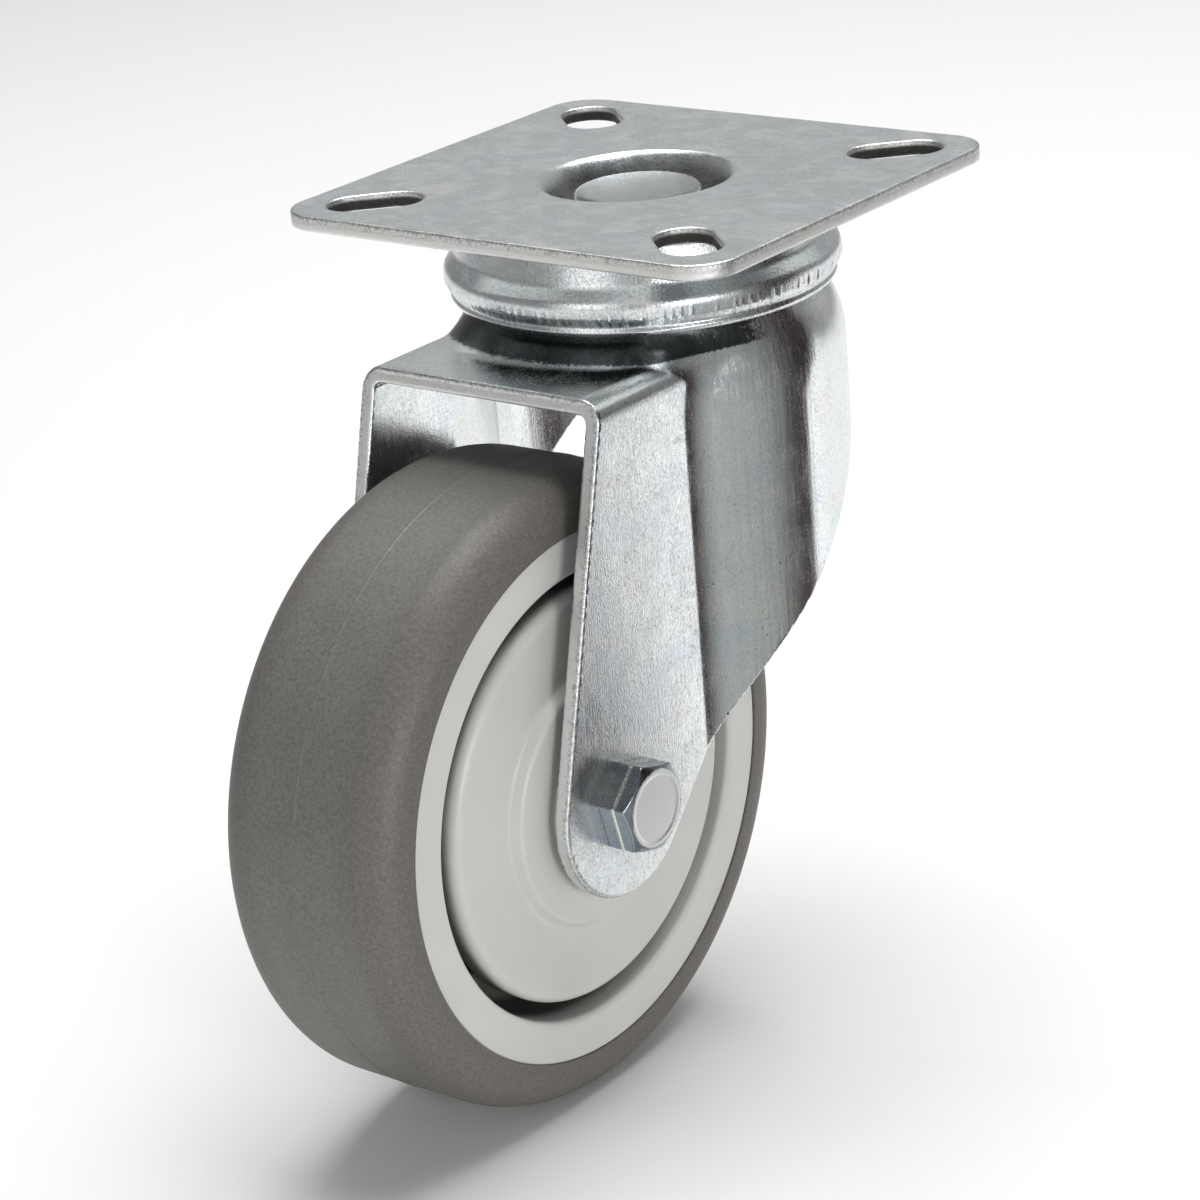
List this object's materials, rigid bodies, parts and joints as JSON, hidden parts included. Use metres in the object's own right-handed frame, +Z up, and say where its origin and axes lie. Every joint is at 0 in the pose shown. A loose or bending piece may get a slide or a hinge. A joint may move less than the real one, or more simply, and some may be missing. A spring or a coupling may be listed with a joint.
{
  "type": "swivel plate caster",
  "caption": "Swivel plate caster with a grey non-marking rubber wheel in a pressed zinc-plated fork, on a slotted top plate.",
  "frame": {"origin": "centre of the top plate's mounting face, on the swivel axis", "axes": "+Z up, out of the mounting face; +X along the axle towards the bolt head; the wheel trails towards -Y"},
  "size_m": [0.0826, 0.1313, 0.134],
  "materials": {
    "plate_steel": "bright zinc plated, satin",
    "fork_steel": "bright zinc plated, satin with forming marks",
    "fastener_steel": "bright zinc plated",
    "race_steel": "ground bearing steel",
    "cage_brass": "drawn",
    "guard_plastic": "moulded light grey polypropylene, satin",
    "core_plastic": "moulded light grey polypropylene, satin",
    "tread_rubber": "moulded grey thermoplastic rubber, matt",
    "nylon": "natural nylon"
  },
  "bodies": {
    "mounting_head": {"top_plate": "plate_steel", "kingpin": "plate_steel", "swivel_cap": "plate_steel", "lower_race_washer": "race_steel"},
    "fork_body": {"fork": "fork_steel", "axle_bolt": "fastener_steel", "axle_lock_nut": "fastener_steel", "lock_nut_ring": "nylon", "axle_sleeve": "fastener_steel", "bearing_spacer": "fastener_steel", "thread_guard_left": "guard_plastic", "thread_guard_right": "guard_plastic", "inner_race_left": "race_steel", "inner_race_right": "race_steel"},
    "wheel_body": {"tread": "tread_rubber", "wheel_core": "core_plastic", "outer_race_left": "race_steel", "outer_race_right": "race_steel", "bearing_shields_left": "fastener_steel", "bearing_shields_right": "fastener_steel"},
    "upper_ball_ring": {"upper_balls": "race_steel"},
    "lower_ball_ring": {"lower_balls": "race_steel"},
    "left_ball_ring": {"bearing_balls_left": "race_steel", "ball_cage_left": "cage_brass"},
    "right_ball_ring": {"bearing_balls_right": "race_steel", "ball_cage_right": "cage_brass"}
  },
  "joints": [
    {"name": "swivel", "type": "hinge", "parent": "mounting_head", "child": "fork_body", "pos_m": [0, 0, 0], "axis": [0, 0, 1], "continuous": true},
    {"name": "wheel_spin", "type": "hinge", "parent": "fork_body", "child": "wheel_body", "pos_m": [0, -0.0428, -0.084], "axis": [1, 0, 0], "continuous": true},
    {"name": "upper_ball_roll", "type": "hinge", "parent": "mounting_head", "child": "upper_ball_ring", "pos_m": [0, 0, 0], "axis": [0, 0, 1], "continuous": true},
    {"name": "lower_ball_roll", "type": "hinge", "parent": "mounting_head", "child": "lower_ball_ring", "pos_m": [0, 0, 0], "axis": [0, 0, 1], "continuous": true},
    {"name": "left_ball_roll", "type": "hinge", "parent": "fork_body", "child": "left_ball_ring", "pos_m": [0, -0.0428, -0.084], "axis": [1, 0, 0], "continuous": true},
    {"name": "right_ball_roll", "type": "hinge", "parent": "fork_body", "child": "right_ball_ring", "pos_m": [0, -0.0428, -0.084], "axis": [1, 0, 0], "continuous": true}
  ],
  "couplings": [
    {"joint": "upper_ball_roll", "follows": "swivel", "ratio": 0.5},
    {"joint": "lower_ball_roll", "follows": "swivel", "ratio": 0.5},
    {"joint": "left_ball_roll", "follows": "wheel_spin", "ratio": 0.619},
    {"joint": "right_ball_roll", "follows": "wheel_spin", "ratio": 0.619}
  ]
}
